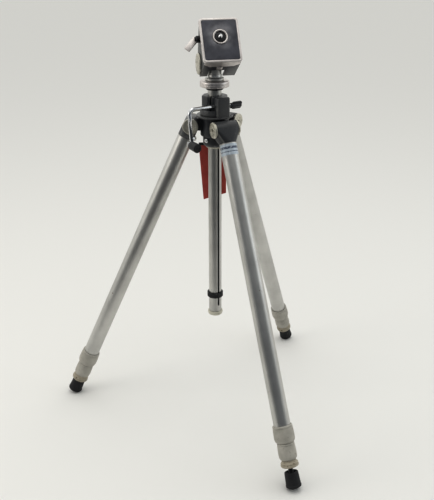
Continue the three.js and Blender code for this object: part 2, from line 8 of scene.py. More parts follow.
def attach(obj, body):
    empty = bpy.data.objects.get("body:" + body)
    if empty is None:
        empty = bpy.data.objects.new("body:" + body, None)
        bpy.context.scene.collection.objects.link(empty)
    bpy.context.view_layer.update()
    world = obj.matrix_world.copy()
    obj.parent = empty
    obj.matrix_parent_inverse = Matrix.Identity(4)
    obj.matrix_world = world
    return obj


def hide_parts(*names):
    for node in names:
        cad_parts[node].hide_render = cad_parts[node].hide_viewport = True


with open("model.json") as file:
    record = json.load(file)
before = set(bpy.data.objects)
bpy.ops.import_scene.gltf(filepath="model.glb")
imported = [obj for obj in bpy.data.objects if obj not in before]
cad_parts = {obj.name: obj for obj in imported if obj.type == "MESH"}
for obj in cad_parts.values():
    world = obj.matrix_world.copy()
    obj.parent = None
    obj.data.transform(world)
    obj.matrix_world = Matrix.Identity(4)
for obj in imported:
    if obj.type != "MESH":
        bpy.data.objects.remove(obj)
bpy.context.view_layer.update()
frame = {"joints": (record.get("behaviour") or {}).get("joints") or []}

# ---------------------------------------------------------------- camera
# A plain camera a little above the head, looking gently down at the whole stand.
# Its place is counted from the column's axis and the height of the hip pins.
MM = 0.001
joints = {joint["name"]: joint for joint in frame["joints"]}
hip_level = Vector(joints["pan"]["pos_m"])
hip_level.z = joints["front_leg_splay"]["pos_m"][2]

camera_data = bpy.data.cameras.new("camera")
camera_data.sensor_fit = "HORIZONTAL"
camera_data.sensor_width = 36
camera_data.lens = 62.8
camera = bpy.data.objects.new("camera", camera_data)
bpy.context.scene.collection.objects.link(camera)
camera_tip = math.radians(90 - 23.27)
camera_roll = -0.002
camera.rotation_euler = (
    Matrix.Rotation(camera_tip, 3, "X") @ Matrix.Rotation(camera_roll, 3, "Z")
).to_euler()
camera.location = hip_level + Vector((3.4, -1246, 306.6)) * MM
bpy.context.scene.camera = camera

tones = bpy.context.scene.view_settings
tones.view_transform = "Standard"
tones.exposure = 0.08
tones.gamma = 0.78


def add_node(tree, kind, feeds=None, **settings):
    """Adds a shader node. Each feed gives an input a value, or links it to another node's output."""
    node = tree.nodes.new("ShaderNode" + kind)
    for setting, value in settings.items():
        setattr(node, setting, value)
    for socket, feed in (feeds or {}).items():
        if isinstance(feed, bpy.types.NodeSocket):
            tree.links.new(feed, node.inputs[socket])
        else:
            node.inputs[socket].default_value = feed
    return node


def new_material(name, **values):
    """Makes a material and gives its shader's plain values; answers the tree and the shader too."""
    material = bpy.data.materials.new(name)
    material.use_nodes = True
    shader = material.node_tree.nodes["Principled BSDF"]
    for socket, value in values.items():
        shader.inputs[socket.replace("_", " ")].default_value = value
    return material, material.node_tree, shader


def bake_place():
    """Puts the selected piece's place, turn and scale into its mesh."""
    bpy.ops.object.transform_apply(location=True, rotation=True, scale=True)

# ---------------------------------------------------------------- floor and studio
# A pale sheet runs out under the stand. The room is white in front of the lens and
# above, and dim behind it, so that tubes and plating take long light and dark bands.
bpy.ops.object.select_all(action="DESELECT")
bpy.ops.mesh.primitive_plane_add(size=36)
floor = bpy.context.object
floor.name = "floor"
floor_paint, _, floor_shader = new_material(
    "white sheet", Base_Color=(0.79, 0.785, 0.765, 1), Roughness=0.7,
)
floor_shader.inputs["Specular IOR Level"].default_value = 0
floor.data.materials.append(floor_paint)

room = bpy.data.worlds.new("room")
bpy.context.scene.world = room
room.use_nodes = True
direction = add_node(room.node_tree, "TexCoord")
parts = add_node(room.node_tree, "SeparateXYZ", {0: direction.outputs["Generated"]})
front_to_back = add_node(
    room.node_tree, "MapRange", {"From Min": -0.75, "From Max": 0.35, "Value": parts.outputs["Y"]}
)
overhead = add_node(
    room.node_tree, "MapRange", {"From Min": 0.35, "From Max": 0.85, "Value": parts.outputs["Z"]}
)
lit = add_node(
    room.node_tree, "Math", {0: front_to_back.outputs["Result"], 1: overhead.outputs["Result"]},
    operation="MAXIMUM",
)
room_tone = add_node(room.node_tree, "Mix", data_type="RGBA")
room_tone.inputs[6].default_value = (0.12, 0.135, 0.155, 1)
room_tone.inputs[7].default_value = (1.0, 1.0, 0.975, 1)
backdrop = room.node_tree.nodes["Background"]
room.node_tree.links.new(lit.outputs[0], room_tone.inputs[0])
room.node_tree.links.new(room_tone.outputs[2], backdrop.inputs["Color"])
backdrop.inputs["Strength"].default_value = 1.0

# A black card lies on the floor on the lens side. It shows only in reflections, as a
# photographer's card does, and keeps plating and tubes from turning white all over.
bpy.ops.mesh.primitive_plane_add(size=1, location=(0, -3.5, 0.002))
black_card = bpy.context.object
black_card.name = "black_card"
black_card.scale = (7, 6, 1)
bake_place()
card_paint, _, _ = new_material("black card", Base_Color=(0.03, 0.033, 0.04, 1), Roughness=0.9)
black_card.data.materials.append(card_paint)
black_card.visible_camera = False
black_card.visible_diffuse = False
black_card.visible_shadow = False


def soft_lamp(name, place, size, power, colour):
    """Hangs a square soft lamp that faces the stand's shoulder; its place is in metres."""
    lamp_data = bpy.data.lights.new(name, "AREA")
    lamp_data.size = size
    lamp_data.energy = power
    lamp_data.color = colour
    lamp = bpy.data.objects.new(name, lamp_data)
    bpy.context.scene.collection.objects.link(lamp)
    lamp.location = place
    lamp.rotation_euler = (hip_level - Vector(place)).to_track_quat("-Z", "Y").to_euler()


soft_lamp("top lamp", (0.1, 0.2, 2.3), 1.8, 7, (1.0, 0.99, 0.96))
soft_lamp("left lamp", (-1.7, -0.5, 1.1), 1.1, 6, (1.0, 0.96, 0.90))
soft_lamp("right lamp", (1.9, -0.2, 1.0), 1.1, 3, (0.88, 0.95, 1.0))

# ---------------------------------------------------------------- drawing and finishing
# Pieces are drawn in millimetres about their own axes, eased, set in their places and dressed.


def pick(piece):
    """Selects one piece alone and makes it the active one."""
    bpy.ops.object.select_all(action="DESELECT")
    piece.select_set(True)
    bpy.context.view_layer.objects.active = piece


def edit_all():
    """Opens the active piece's mesh with everything selected."""
    bpy.ops.object.mode_set(mode="EDIT")
    bpy.ops.mesh.select_all(action="SELECT")


def join_to(piece, *others):
    """Joins the meshes of other pieces to this one."""
    pick(piece)
    for other in others:
        other.select_set(True)
    bpy.ops.object.join()


def turned(name, outline, sides=64):
    """Draws a turned piece about Z from its outline of (radius, height) in millimetres."""
    point = 0.01
    radius, height = outline[0]
    bpy.ops.object.select_all(action="DESELECT")
    bpy.ops.mesh.primitive_circle_add(
        vertices=sides, radius=max(radius, point) * MM, location=(0, 0, height * MM)
    )
    piece = bpy.context.object
    piece.name = name
    bake_place()
    edit_all()
    for next_radius, next_height in outline[1:]:
        rise = (0, 0, (next_height - height) * MM)
        bpy.ops.mesh.extrude_region_move(TRANSFORM_OT_translate={"value": rise})
        growth = max(next_radius, point) / max(radius, point)
        bpy.ops.transform.resize(value=(growth, growth, 1), center_override=(0, 0, 0))
        radius, height = next_radius, next_height
    bpy.ops.mesh.select_all(action="SELECT")
    bpy.ops.mesh.remove_doubles(threshold=2.1 * point * MM)
    bpy.ops.mesh.normals_make_consistent(inside=False)
    bpy.ops.object.mode_set(mode="OBJECT")
    return piece


def block(name, low, high):
    """Draws a square-edged block between two corners in millimetres."""
    low, high = Vector(low) * MM, Vector(high) * MM
    bpy.ops.object.select_all(action="DESELECT")
    bpy.ops.mesh.primitive_cube_add(size=1, location=(low + high) / 2)
    piece = bpy.context.object
    piece.name = name
    piece.scale = high - low
    bake_place()
    return piece


def round_bar(name, radius, low, high, sides=48, along="Z"):
    """Draws a round bar about one axis, from low to high along it, in millimetres."""
    turn = {"Z": (0, 0, 0), "Y": (-math.pi / 2, 0, 0), "X": (0, math.pi / 2, 0)}[along]
    bpy.ops.object.select_all(action="DESELECT")
    bpy.ops.mesh.primitive_cylinder_add(
        vertices=sides, radius=radius * MM, depth=(high - low) * MM
    )
    piece = bpy.context.object
    piece.name = name
    piece.location = (0, 0, (high + low) / 2 * MM)
    bake_place()
    piece.rotation_euler = turn
    bake_place()
    return piece


def moved(piece, step=(0, 0, 0), turn=0, axis="Z"):
    """Turns a piece about an axis through the origin, in degrees, then steps it in millimetres."""
    pick(piece)
    turned_by = Matrix.Rotation(math.radians(turn), 4, axis)
    piece.matrix_world = Matrix.Translation(Vector(step) * MM) @ turned_by
    bake_place()
    return piece


def round_edges(piece, chosen, width, segments=4):
    """Rounds the edges that the test picks, from each edge's two ends in millimetres."""
    pick(piece)
    bpy.ops.object.mode_set(mode="EDIT")
    bpy.ops.mesh.select_mode(type="EDGE")
    bpy.ops.mesh.select_all(action="DESELECT")
    bpy.ops.object.mode_set(mode="OBJECT")
    points = [vertex.co / MM for vertex in piece.data.vertices]
    for edge in piece.data.edges:
        edge.select = bool(chosen(points[edge.vertices[0]], points[edge.vertices[1]]))
    bpy.ops.object.mode_set(mode="EDIT")
    bpy.ops.mesh.bevel(offset=width * MM, segments=segments, affect="EDGES")
    bpy.ops.object.mode_set(mode="OBJECT")
    return piece


def ease(piece, width, segments=2, angle=32):
    """Breaks the sharp edges of a piece by a width in millimetres and shades the rest smooth."""
    pick(piece)
    if width:
        broken = piece.modifiers.new("broken edges", "BEVEL")
        broken.width = width * MM
        broken.segments = segments
        broken.limit_method = "ANGLE"
        broken.angle_limit = math.radians(angle)
        bpy.ops.object.modifier_apply(modifier=broken.name)
    bpy.ops.object.shade_smooth_by_angle(angle=math.radians(angle))
    return piece


def joined_by(piece, tool, how):
    """Unites a piece with a tool shape, or cuts the tool away, and puts the tool back in the drawer."""
    pick(piece)
    step = piece.modifiers.new(how, "BOOLEAN")
    step.operation = how
    step.solver = "EXACT"
    step.object = tool
    bpy.ops.object.modifier_apply(modifier=step.name)
    bpy.data.objects.remove(tool)
    return piece


def add_to(piece, tool):
    return joined_by(piece, tool, "UNION")


def cut_from(piece, tool):
    return joined_by(piece, tool, "DIFFERENCE")


def set_in(piece, place):
    """Keeps where each point was drawn, for the finish to follow, and moves the piece to its place."""
    drawn = piece.data.attributes.new("drawn", "FLOAT_VECTOR", "POINT")
    drawn.data.foreach_set("vector", [c for vertex in piece.data.vertices for c in vertex.co])
    pick(piece)
    piece.matrix_world = place
    bake_place()
    return piece


def dress(piece, finish, body, slot, *nodes):
    """Gives a piece its finish and the body that it rides on, and says which CAD nodes it stands for."""
    piece.data.materials.clear()
    piece.data.materials.append(finish)
    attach(piece, body)
    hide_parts(*nodes)


def settle(piece, place, width, finish, body, slot, *nodes, **easing):
    """Finishes a piece: breaks its edges, sets it in its place and dresses it."""
    ease(piece, width, **easing)
    set_in(piece, place)
    dress(piece, finish, body, slot, *nodes)


def variation_group():
    """A node group of the surface's unevenness: clouds, grain, specks, and edges to lighten, partly as
    wear and partly as a painted highlight.
    """
    group = bpy.data.node_groups.new("surface variation", "ShaderNodeTree")
    for name, kind in (
        ("Place", "NodeSocketVector"), ("Stretch", "NodeSocketVector"),
        ("Cloud Scale", "NodeSocketFloat"), ("Grain Scale", "NodeSocketFloat"),
        ("Speck Scale", "NodeSocketFloat"), ("Speck Level", "NodeSocketFloat"),
    ):
        group.interface.new_socket(name, in_out="INPUT", socket_type=kind)
    for name in ("Cloud", "Grain", "Speck", "Edge Wear and Sheen"):
        group.interface.new_socket(name, in_out="OUTPUT", socket_type="NodeSocketFloat")
    given, result = group.nodes.new("NodeGroupInput"), group.nodes.new("NodeGroupOutput")

    def noise(vector, scale, detail):
        feeds = {"Detail": detail, "Vector": vector, "Scale": scale}
        return add_node(group, "TexNoise", feeds).outputs["Fac"]

    def spread(value, low, high):
        node = add_node(group, "MapRange", {"From Min": low, "From Max": high, "Value": value})
        return node.outputs["Result"]

    stretched = add_node(
        group, "VectorMath", {0: given.outputs["Place"], 1: given.outputs["Stretch"]}, operation="MULTIPLY"
    )
    cloud = spread(noise(given.outputs["Place"], given.outputs["Cloud Scale"], 5), 0.32, 0.68)
    grain = noise(stretched.outputs[0], given.outputs["Grain Scale"], 3)
    flecks = noise(given.outputs["Place"], given.outputs["Speck Scale"], 3)
    above = add_node(group, "Math", {0: flecks, 1: given.outputs["Speck Level"]}, operation="SUBTRACT")
    speck = spread(above.outputs[0], 0.0, 0.035)
    geometry = add_node(group, "NewGeometry")
    # Sharp edges, broken up by the grain, make the mask for edges lightened partly as wear and partly as a
    # painted highlight.
    edge = spread(geometry.outputs["Pointiness"], 0.515, 0.60)
    edge_wear_and_sheen_mask = add_node(group, "Math", {0: edge, 1: grain}, operation="MULTIPLY")
    for name, value in (("Cloud", cloud), ("Grain", grain), ("Speck", speck), ("Edge Wear and Sheen", edge_wear_and_sheen_mask.outputs[0])):
        group.links.new(value, result.inputs[name])
    return group


def unevenness(tree, stretch, clouds, grain, specks, speck_level):
    """Adds the surface's unevenness, which follows the piece as it was drawn."""
    drawn = add_node(tree, "Attribute", attribute_name="drawn").outputs["Vector"]
    uneven = add_node(tree, "Group")
    uneven.node_tree = bpy.data.node_groups.get("surface variation") or variation_group()
    tree.links.new(drawn, uneven.inputs["Place"])
    for socket, value in (
        ("Stretch", stretch), ("Cloud Scale", clouds), ("Grain Scale", grain),
        ("Speck Scale", specks), ("Speck Level", speck_level),
    ):
        uneven.inputs[socket].default_value = value
    return drawn, uneven


def mixed(tree, factor, first, second, blend="MIX"):
    """Mixes two colours, each a tuple or another node's output."""
    node = add_node(tree, "Mix", data_type="RGBA", blend_type=blend)
    for index, feed in ((0, factor), (6, first), (7, second)):
        if isinstance(feed, bpy.types.NodeSocket):
            tree.links.new(feed, node.inputs[index])
        else:
            node.inputs[index].default_value = (*feed, 1) if isinstance(feed, tuple) else feed
    return node.outputs[2]


def give_gloss_and_grain(tree, shader, grain, rough, depth):
    """Lets the grain vary the roughness between two values and stand up by a depth in millimetres."""
    gloss = add_node(tree, "MapRange", {"To Min": rough[0], "To Max": rough[1], "Value": grain})
    tree.links.new(gloss.outputs["Result"], shader.inputs["Roughness"])
    bump = add_node(tree, "Bump", {"Distance": depth * MM, "Strength": 1.0, "Height": grain})
    tree.links.new(bump.outputs["Normal"], shader.inputs["Normal"])


def finish_of(name, dark, light, rough, metal=0.0, grain=(900, 0.03), stretch=(1, 1, 1),
              clouds=45, specks=(160, 0.70, (0.1, 0.1, 0.1)), edge_wear_and_sheen_tone=None, coat=0.0):
    """Makes a finish: cloudy colour between two tones, grain in its gloss and height, specks of dirt, and,
    when an edge tone is given, edges lightened partly as wear and partly as a painted highlight.
    """
    material, tree, shader = new_material(name, Metallic=metal, Coat_Weight=coat, Coat_Roughness=0.2)
    _, uneven = unevenness(tree, stretch, clouds, grain[0], specks[0], specks[1])
    colour = mixed(tree, uneven.outputs["Cloud"], dark, light)
    colour = mixed(tree, uneven.outputs["Speck"], colour, specks[2])
    # Edges take a lighter tone: partly wear, partly a painted highlight of light caught on them.
    if edge_wear_and_sheen_tone:
        colour = mixed(tree, uneven.outputs["Edge Wear and Sheen"], colour, edge_wear_and_sheen_tone)
    tree.links.new(colour, shader.inputs["Base Color"])
    give_gloss_and_grain(tree, shader, uneven.outputs["Grain"], rough, grain[1])
    return material


# ---------------------------------------------------------------- cast shoulder
# The shoulder is one light-alloy casting, stove-enamelled black: a hub round the column,
# a plate on top, and three tongues that the legs hinge on.
LEGS = ("front", "rear", "left")
# The black enamel's edges are lightened, partly as wear and partly as a painted highlight of light caught
# on them.
black_enamel = finish_of(
    "black enamel", (0.016, 0.018, 0.023), (0.028, 0.031, 0.038), (0.30, 0.50),
    grain=(1500, 0.02), specks=(420, 0.69, (0.16, 0.15, 0.13)), edge_wear_and_sheen_tone=(0.22, 0.22, 0.21), coat=0.12,
)
stand_place = Matrix.Translation(hip_level)
hip_radius = 38.8
shoulder = turned("shoulder_casting", [
    (11.8, -18.2), (22.6, -18.2), (23.6, -17.8), (24, -16.8), (24, 12.4), (24.6, 13.3),
    (26, 13.8), (30.2, 13.8), (31, 14.6), (31, 15.8), (30.1, 16.8), (11.8, 16.8), (11.8, -18.2),
], sides=96)
for leg in LEGS:
    hip = Vector(joints[f"{leg}_leg_splay"]["pos_m"]) - hip_level
    tongue = block("tongue", (16, -7, -10), (hip_radius + 10, 7, 10))
    round_edges(tongue, lambda a, b: a.x > 48 and b.x > 48 and abs(a.y - b.y) > 1, 9.9, 14)
    ease(tongue, 0.8)
    moved(tongue, turn=math.degrees(math.atan2(hip.y, hip.x)))
    add_to(shoulder, tongue)
settle(shoulder, stand_place, 0, black_enamel, "shoulder", "black_paint", "spider")

# ---------------------------------------------------------------- lower collar and its screw
# A turned collar, enamelled like the shoulder, is screwed up under it from the side. A pale
# nylon bush shows as a thin ring below it, where the column runs through.
collar_top = -18.5
collar_low = collar_top - 17.5
collar = turned("lower_collar_turned", [
    (11.8, collar_low), (16.4, collar_low), (17.4, collar_low + 0.4), (19.4, collar_low + 3.2),
    (19.8, collar_low + 4.4), (19.8, collar_low + 12), (19.5, collar_low + 12.4),
    (19.8, collar_low + 12.8), (19.8, collar_top - 0.5), (19.3, collar_top), (11.8, collar_top),
    (11.8, collar_low),
], sides=80)
settle(collar, stand_place, 0.15, black_enamel, "shoulder", "black_paint", "lower_collar")

ivory = finish_of(
    "ivory nylon", (0.50, 0.48, 0.40), (0.62, 0.60, 0.51), (0.38, 0.60), grain=(700, 0.02),
    specks=(330, 0.66, (0.20, 0.17, 0.12)),
)
bush_low = collar_low - 0.3 - 2.4
bush = turned("column_bush_ring", [
    (11.7, bush_low), (13.9, bush_low), (14.5, bush_low + 0.6), (14.5, bush_low + 2.4),
    (11.7, bush_low + 2.4), (11.7, bush_low),
])
settle(bush, stand_place, 0.12, ivory, "shoulder", "ivory_plastic", "column_bush")

plated = finish_of(
    "bright plating", (0.62, 0.63, 0.65), (0.80, 0.80, 0.80), (0.06, 0.16), metal=1.0,
    grain=(260, 0.012), specks=(300, 0.70, (0.30, 0.27, 0.23)),
)
bolt = turned("collar_screw_head", [
    (0, 19.9), (3.4, 19.9), (3.6, 20.1), (3.6, 22.2), (3.2, 22.8), (1.9, 22.8), (1.9, 21.4),
    (1.6, 21.4), (1.6, 23.8), (1.2, 24.2), (0, 24.2),
], sides=36)
moved(bolt, turn=90, axis="Y")
moved(bolt, step=(0, 0, -24.2), turn=-130)
settle(bolt, stand_place, 0.1, plated, "shoulder", "chrome", "collar_bolt")

# ---------------------------------------------------------------- elevator housing
# A second casting stands on the shoulder's plate: a low drum, an eight-sided clamp that is
# slit down one side, and a block with rounded edges that holds the crank's pinion.
lock_axis = Vector(joints["column_lock_turn"]["axis"]).normalized()


def place_of(origin, x, y, z):
    """The matrix of a frame from its origin and its three directions."""
    matrix = Matrix((x, y, z)).transposed().to_4x4()
    matrix.translation = origin
    return matrix


up = Vector((0, 0, 1))
elevator_place = place_of(hip_level, lock_axis.cross(up), lock_axis, up)
housing_low = 17.1
housing_top = 49
flats = 20
housing = round_bar("elevator_casting", flats / math.cos(math.pi / 8), housing_low, housing_top, 8)
moved(housing, turn=22.5)
round_edges(housing, lambda a, b: abs(a.z - b.z) > 1, 1.3, 3)
round_edges(housing, lambda a, b: a.z > 48.9 and b.z > 48.9, 1.6, 4)
gear_block = block("gear block", (0, -11.5, housing_low), (30, 11.5, housing_top))
round_edges(gear_block, lambda a, b: a.x > 29 and b.x > 29 and abs(a.z - b.z) > 1, 3.4, 6)
round_edges(gear_block, lambda a, b: a.z > 48.9 and b.z > 48.9 and (a.x > 1 or b.x > 1), 3.0, 6)
add_to(housing, gear_block)
drum = turned("drum", [
    (0, housing_low), (23.7, housing_low), (24.5, 17.9), (24.5, 25.6), (23.9, 26.7), (22.8, 27.1),
    (0, 27.1),
], sides=96)
add_to(housing, drum)
cut_from(housing, round_bar("column hole", 11.8, 10, 60, 64))
slit = block("slit", (9, -1.2, 27.1), (40, 1.2, 52))
cut_from(housing, moved(slit, turn=-52))
shaft_hole = round_bar("shaft hole", 3.7, -25, 9, 32, "Y")
cut_from(housing, moved(shaft_hole, step=(16.2, 0, 34)))
settle(housing, elevator_place, 0, black_enamel, "shoulder", "black_paint", "elevator_housing")

# ---------------------------------------------------------------- centre column
# Drawn aluminium tube, satin anodised, with a slot down its side for the steel rack. A rubber
# ring stops it at the top of its travel and an ivory plug closes its lower end.
column_radius = 11.4
column_low, column_top = -348, 58
satin = finish_of(
    "satin anodised tube", (0.53, 0.525, 0.505), (0.63, 0.625, 0.60), (0.34, 0.46), metal=1.0,
    grain=(1400, 0.010), stretch=(1, 1, 0.012), clouds=28, specks=(230, 0.735, (0.22, 0.16, 0.10)),
)
column = turned("column_drawn_tube", [
    (9.6, column_low), (11.1, column_low), (column_radius, column_low + 0.3),
    (column_radius, column_top - 0.3), (11.1, column_top), (9.6, column_top), (9.6, column_low),
], sides=128)
slot_low, slot_high = column_low + 12, column_top - 8
cut_from(column, block("slot", (0, -1.7, slot_low), (20, 1.7, slot_high)))
settle(column, elevator_place, 0, satin, "column", "satin_aluminium", "column_tube", angle=25)

black_steel = finish_of(
    "black steel", (0.035, 0.036, 0.040), (0.060, 0.060, 0.062), (0.32, 0.48), metal=0.6,
    grain=(1200, 0.01), specks=(500, 0.68, (0.14, 0.12, 0.10)),
)
pinion_centre = column_radius + 4.8
pinion_radius = 6
rack_face = pinion_centre - pinion_radius - 0.3
tooth_pitch = 2 * math.pi * pinion_radius / 11
rack = block(
    "column_toothed_rack",
    (rack_face - 2.4, -1.3, slot_low + 1), (rack_face - 0.9, 1.3, slot_high - 1),
)
tooth = block("tooth", (rack_face - 1.0, -1.3, slot_low + 1.6), (rack_face, 1.3, slot_low + 3.2))
tooth_tip = rack_face - 0.1
round_edges(
    tooth, lambda a, b: a.x > tooth_tip and b.x > tooth_tip and abs(a.y - b.y) > 1, 0.45, 2
)
teeth = tooth.modifiers.new("teeth", "ARRAY")
teeth.use_relative_offset = False
teeth.use_constant_offset = True
teeth.constant_offset_displace = (0, 0, tooth_pitch * MM)
teeth.count = int((slot_high - slot_low - 5) / tooth_pitch)
bpy.ops.object.modifier_apply(modifier=teeth.name)
join_to(rack, tooth)
settle(rack, elevator_place, 0, black_steel, "column", "black_steel", "column_rack")

rubber = finish_of(
    "black rubber", (0.012, 0.012, 0.014), (0.022, 0.022, 0.024), (0.55, 0.80), grain=(1100, 0.05),
    specks=(260, 0.66, (0.075, 0.07, 0.06)),
)
ring_low = column_low + 28
stop = turned("column_stop_ring", [
    (11.7, ring_low), (13.2, ring_low), (14.2, ring_low + 1), (14.2, ring_low + 4.6),
    (13.8, ring_low + 5), (14.2, ring_low + 5.4), (14.2, ring_low + 9), (13.2, ring_low + 10),
    (11.7, ring_low + 10), (11.7, ring_low),
])
settle(stop, elevator_place, 0.2, rubber, "column", "rubber", "stop_ring")

plug_top = column_low - 0.3
plug_low = plug_top - 8
plug = turned("column_end_plug", [
    (0, plug_low - 4), (1.4, plug_low - 4), (1.8, plug_low - 3.6), (1.8, plug_low), (9.8, plug_low),
    (11.6, plug_low + 0.5), (12.8, plug_low + 1.6), (13.3, plug_low + 3.2), (13.3, plug_low + 7),
    (12.9, plug_top - 0.4), (12.3, plug_top), (0, plug_top),
])
cut_from(plug, block("screwdriver slot", (5, -14, plug_low - 1), (7.4, 14, plug_low + 1.6)))
settle(plug, elevator_place, 0.15, ivory, "column", "ivory_plastic", "column_end_cap")

washer = turned("column_top_washer", [
    (0, 58.3), (13.7, 58.3), (14.3, 58.9), (14.3, 61.4), (13.7, 62), (0, 62),
])
settle(washer, elevator_place, 0.15, rubber, "column", "rubber", "column_washer")

dull_aluminium = finish_of(
    "machined aluminium", (0.60, 0.565, 0.545), (0.72, 0.685, 0.665), (0.34, 0.50), metal=1.0,
    grain=(900, 0.012), stretch=(1, 1, 0.4), clouds=60, specks=(300, 0.70, (0.28, 0.25, 0.22)),
)
disc_low = 62.6
disc = turned("pan_base_disc", [
    (0, disc_low), (22.4, disc_low), (23.7, disc_low + 0.5), (24.2, disc_low + 1.6),
    (24.2, disc_low + 4.6), (23.8, disc_low + 4.9), (24.2, disc_low + 5.2), (24.2, disc_low + 8.9),
    (23.6, disc_low + 10), (22.6, disc_low + 10.5), (6.4, disc_low + 10.5), (6.4, disc_low + 2),
    (0, disc_low + 2),
], sides=96)
settle(disc, elevator_place, 0.15, dull_aluminium, "column", "dull_aluminium", "pan_disc")

# ---------------------------------------------------------------- crank and folding grip
# One bright-plated rod is bent square to make shaft and arm, with the pinion pressed on it.
# A stud folds under the arm's end and carries a black moulded grip.
crank_axis = Vector(joints["crank_turn"]["axis"]).normalized()
arm_axis = Vector(joints["crank_grip_fold"]["axis"]).normalized()
crank_place = place_of(
    Vector(joints["crank_turn"]["pos_m"]), crank_axis.cross(arm_axis), crank_axis, arm_axis
)
crank_reach, crank_bend, crank_arm, rod_radius = 59, 9, 50, 3.5
rod_start = 8
bpy.ops.object.select_all(action="DESELECT")
bpy.ops.mesh.primitive_circle_add(
    vertices=28, radius=rod_radius * MM, fill_type="NGON", rotation=(math.pi / 2, 0, 0)
)
rod = bpy.context.object
rod.name = "crank_bent_rod"
rod.location = (0, rod_start * MM, 0)
bake_place()
edit_all()
bend_start = crank_reach - crank_bend
straight = (0, -(rod_start + bend_start) * MM, 0)
bpy.ops.mesh.extrude_region_move(TRANSFORM_OT_translate={"value": straight})
bpy.ops.mesh.spin(
    steps=12, angle=-math.pi / 2, center=(0, -bend_start * MM, -crank_bend * MM), axis=(1, 0, 0),
)
arm_run = (0, 0, -(crank_arm - crank_bend) * MM)
bpy.ops.mesh.extrude_region_move(TRANSFORM_OT_translate={"value": arm_run})
bpy.ops.mesh.select_all(action="SELECT")
bpy.ops.mesh.remove_doubles(threshold=0.00001)
bpy.ops.mesh.normals_make_consistent(inside=False)
bpy.ops.object.mode_set(mode="OBJECT")
ease(rod, 0.5, 3, 50)
pinion = round_bar("pinion", pinion_radius, -1.3, 1.3, 44, "Y")
pinion_sides = 44
side_angle = 8.18


def on_tooth(a, b):
    """Tells whether an edge that runs along the pinion is one in four, counted round it."""
    side = int(round(math.degrees(math.atan2(a.z, a.x)) / side_angle))
    return abs(a.y - b.y) > 1 and side % 4 == 0


round_edges(pinion, on_tooth, 0.5, 1)
boss = turned("boss", [
    (0, -crank_reach - 0.6), (3.3, -crank_reach - 0.6), (3.9, -crank_reach),
    (3.9, -crank_reach + 6),
    (3.2, -crank_reach + 7), (0, -crank_reach + 7),
], sides=32)
moved(boss, turn=-90, axis="X")
moved(boss, step=(0, 0, -crank_arm + 3.9))
join_to(rod, pinion, boss)
bpy.ops.object.shade_smooth_by_angle(angle=math.radians(35))
set_in(rod, crank_place)
dress(rod, plated, "crank", "chrome", "crank_rod")

grip_axis = Vector(joints["crank_grip_spin"]["axis"]).normalized()
grip_place = place_of(
    Vector(joints["crank_grip_spin"]["pos_m"]), crank_axis.cross(grip_axis), crank_axis, grip_axis
)
stud = turned("crank_folding_stud", [
    (0, -crank_arm - 8.5), (3.3, -crank_arm - 8.5), (3.8, -crank_arm - 8), (3.8, -crank_arm - 0.8),
    (3.3, -crank_arm - 0.3), (0, -crank_arm - 0.3),
], sides=32)
moved(stud, step=(0, -crank_reach - 4.4, 0))
settle(stud, crank_place, 0.15, plated, "crank_stud", "chrome", "crank_stud")

black_moulding = finish_of(
    "black moulding", (0.010, 0.010, 0.012), (0.019, 0.019, 0.021), (0.30, 0.46), grain=(1300, 0.025),
    specks=(450, 0.67, (0.06, 0.06, 0.055)),
)
grip = turned("crank_moulded_grip", [
    (0, 4.8), (6.0, 4.8), (6.6, 5.1), (6.9, 5.8), (7.0, 11), (7.2, 18), (7.3, 22.8), (7.3, 24.0),
    (6.9, 24.7), (6.2, 24.8), (2.9, 24.8), (2.9, 24.2), (2.2, 24.2), (2.0, 24.6), (0, 24.7),
], sides=48)
settle(grip, grip_place, 0.12, black_moulding, "crank_grip", "black_plastic", "crank_grip")

# ---------------------------------------------------------------- column lock knob
# A black moulded wing nut on a plated screw pinches the slit housing on to the column.
knob_place = Matrix.Translation((0, 0, 27 * MM)) @ elevator_place
knob = turned("column_lock_wing", [
    (0, 31.5), (4.0, 31.5), (4.6, 32.1), (4.6, 50), (4.0, 51.8), (2.6, 52.6), (0, 52.8),
], sides=40)
wing = block("wing", (-1.7, -6.5, 34.5), (1.7, 6.5, 53.5))
round_edges(wing, lambda a, b: abs(a.x - b.x) > 1, 3.0, 6)
ease(wing, 0.8, 3, 50)
moved(wing, turn=-90, axis="X")
moved(wing, turn=20, axis="Y")
moved(knob, turn=-90, axis="X")
add_to(knob, wing)
settle(knob, knob_place, 0, black_moulding, "column_lock", "black_plastic", "column_lock_knob")
screw_outline = [(0, 11.8)]
for step in range(20):
    screw_outline += [(2.6, 11.8 + step), (3.0, 12.3 + step)]
screw_outline += [(2.6, 32), (0, 32)]
lock_screw = turned("column_lock_screw", screw_outline, sides=24)
moved(lock_screw, turn=-90, axis="X")
settle(lock_screw, knob_place, 0, plated, "column_lock", "chrome")

# ---------------------------------------------------------------- legs
# Each leg is drawn once along its own axis, with the hip pin at the origin and the foot below,
# and copied to the three hips. Forks are cast, tubes drawn, locks and flanges moulded.
leg_places = {}
for leg in LEGS:
    pin_axis = -Vector(joints[f"{leg}_leg_splay"]["axis"]).normalized()
    along = -Vector(joints[f"{leg}_middle_slide"]["axis"]).normalized()
    leg_places[leg] = place_of(
        Vector(joints[f"{leg}_leg_splay"]["pos_m"]), pin_axis.cross(along), pin_axis, along
    )


def fit_to_legs(piece, finish, part, slot, node, place_step=None):
    """Sets a copy of a leg's piece in each leg, with its own mesh, and puts the first away."""
    for leg in LEGS:
        twin = piece.copy()
        twin.data = piece.data.copy()
        twin.name = f"{leg}_{piece.name}"
        bpy.context.scene.collection.objects.link(twin)
        place = leg_places[leg]
        if place_step:
            place = place @ Matrix.Translation((0, 0, -place_step[leg] * MM))
        set_in(twin, place)
        nodes = [f"{leg}_{node}"] if node else []
        dress(twin, finish, f"{leg}_{part}", slot, *nodes)
    bpy.data.objects.remove(piece)


